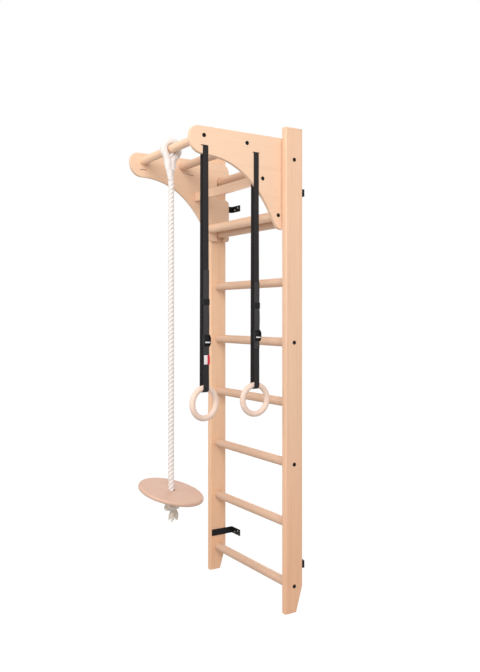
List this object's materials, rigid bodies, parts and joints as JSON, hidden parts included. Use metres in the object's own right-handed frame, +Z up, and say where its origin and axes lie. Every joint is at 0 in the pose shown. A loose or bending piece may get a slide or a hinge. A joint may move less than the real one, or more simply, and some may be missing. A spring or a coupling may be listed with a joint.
{
  "type": "swedish wall bars",
  "caption": "Wooden wall-mounted climbing ladder with round rungs, a hook-on pull-up frame, two strap-hung gymnastic rings and a rope swing with a round disc seat",
  "frame": {"origin": "on the floor line of the wall plane, midway between the uprights", "axes": "+Z up along the uprights, +X across the ladder towards the side with the rings, -Y out of the wall into the room"},
  "size_m": [0.6476, 0.6233, 2],
  "materials": {
    "beech": "satin",
    "plywood": "satin",
    "disc_wood": "satin",
    "ring_wood": "satin",
    "black_steel": "satin",
    "bright_steel": "polished",
    "webbing": "matt",
    "rope": "matt"
  },
  "bodies": {
    "ladder": {"left_upright": "beech", "lower_left_bracket_screw_1": "black_steel", "lower_left_bracket_screw_2": "black_steel", "lower_left_wall_bracket": "black_steel", "lower_right_bracket_screw_1": "black_steel", "lower_right_bracket_screw_2": "black_steel", "lower_right_wall_bracket": "black_steel", "right_upright": "beech", "rung_1": "beech", "rung_1_left_bolt": "black_steel", "rung_1_right_bolt": "black_steel", "rung_2": "beech", "rung_3": "beech", "rung_3_left_bolt": "black_steel", "rung_3_right_bolt": "black_steel", "rung_4": "beech", "rung_5": "beech", "rung_5_left_bolt": "black_steel", "rung_5_right_bolt": "black_steel", "rung_6": "beech", "rung_7": "beech", "rung_8": "beech", "rung_8_left_bolt": "black_steel", "rung_8_right_bolt": "black_steel", "upper_left_bracket_screw_1": "black_steel", "upper_left_bracket_screw_2": "black_steel", "upper_left_wall_bracket": "black_steel", "upper_right_bracket_screw_1": "black_steel", "upper_right_bracket_screw_2": "black_steel", "upper_right_wall_bracket": "black_steel"},
    "pull_up_frame": {"front_pull_up_bar": "beech", "front_pull_up_bar_left_bolt": "black_steel", "front_pull_up_bar_right_bolt": "black_steel", "front_strap_top_loop": "webbing", "left_cheek": "plywood", "lower_cross_bar": "beech", "lower_cross_bar_left_bolt": "black_steel", "lower_cross_bar_right_bolt": "black_steel", "rear_grip_bar": "beech", "rear_grip_bar_left_bolt": "black_steel", "rear_grip_bar_right_bolt": "black_steel", "rear_strap_top_loop": "webbing", "right_cheek": "plywood", "stiffener_board": "beech", "stiffener_board_left_bolt": "black_steel", "stiffener_board_right_bolt": "black_steel"},
    "front_strap": {"front_buckle_frame": "black_steel", "front_strap_keeper": "webbing", "front_strap_legs": "webbing"},
    "rear_strap": {"rear_buckle_frame": "black_steel", "rear_strap_keeper": "webbing", "rear_strap_legs": "webbing"},
    "front_cam": {"front_buckle_cam_lever": "bright_steel"},
    "rear_cam": {"rear_buckle_cam_lever": "bright_steel"},
    "front_ring_swing": {"front_ring": "ring_wood"},
    "rear_ring_swing": {"rear_ring": "ring_wood"},
    "rope_swing": {"rope": "rope", "rope_eye": "rope", "stopper_knot": "rope"},
    "disc": {"disc_seat": "disc_wood"}
  },
  "joints": [
    {"name": "frame_lift", "type": "slide", "parent": "ladder", "child": "pull_up_frame", "axis": [0, 0, 1], "range_m": [0, 0.066]},
    {"name": "front_strap_swing", "type": "hinge", "parent": "pull_up_frame", "child": "front_strap", "pos_m": [0.2785, -0.479, 1.86461], "axis": [0, -1, 0], "range_deg": [-7, 50]},
    {"name": "front_ring_tilt", "type": "hinge", "parent": "front_strap", "child": "front_ring_swing", "pos_m": [0.2785, -0.479, 0.9445], "axis": [0, -1, 0], "range_deg": [-60, 60]},
    {"name": "front_cam_release", "type": "hinge", "parent": "front_strap", "child": "front_cam", "pos_m": [0.30092, -0.479, 1.127], "axis": [0, 1, 0], "range_deg": [0, 25], "stiffness_Nm_per_rad": 0.2},
    {"name": "rear_strap_swing", "type": "hinge", "parent": "pull_up_frame", "child": "rear_strap", "pos_m": [0.2785, -0.244, 1.74684], "axis": [0, -1, 0], "range_deg": [-7, 50]},
    {"name": "rear_ring_tilt", "type": "hinge", "parent": "rear_strap", "child": "rear_ring_swing", "pos_m": [0.2785, -0.244, 0.9445], "axis": [0, -1, 0], "range_deg": [-60, 60]},
    {"name": "rear_cam_release", "type": "hinge", "parent": "rear_strap", "child": "rear_cam", "pos_m": [0.29994, -0.244, 1.143], "axis": [0, 1, 0], "range_deg": [0, 25], "stiffness_Nm_per_rad": 0.2},
    {"name": "rope_swing", "type": "hinge", "parent": "pull_up_frame", "child": "rope_swing", "pos_m": [0.007, -0.485, 1.923], "axis": [1, 0, 0], "range_deg": [-60, 8]},
    {"name": "disc_turn", "type": "hinge", "parent": "rope_swing", "child": "disc", "pos_m": [0.007, -0.485, 0.487], "axis": [0, 0, 1], "continuous": true}
  ]
}
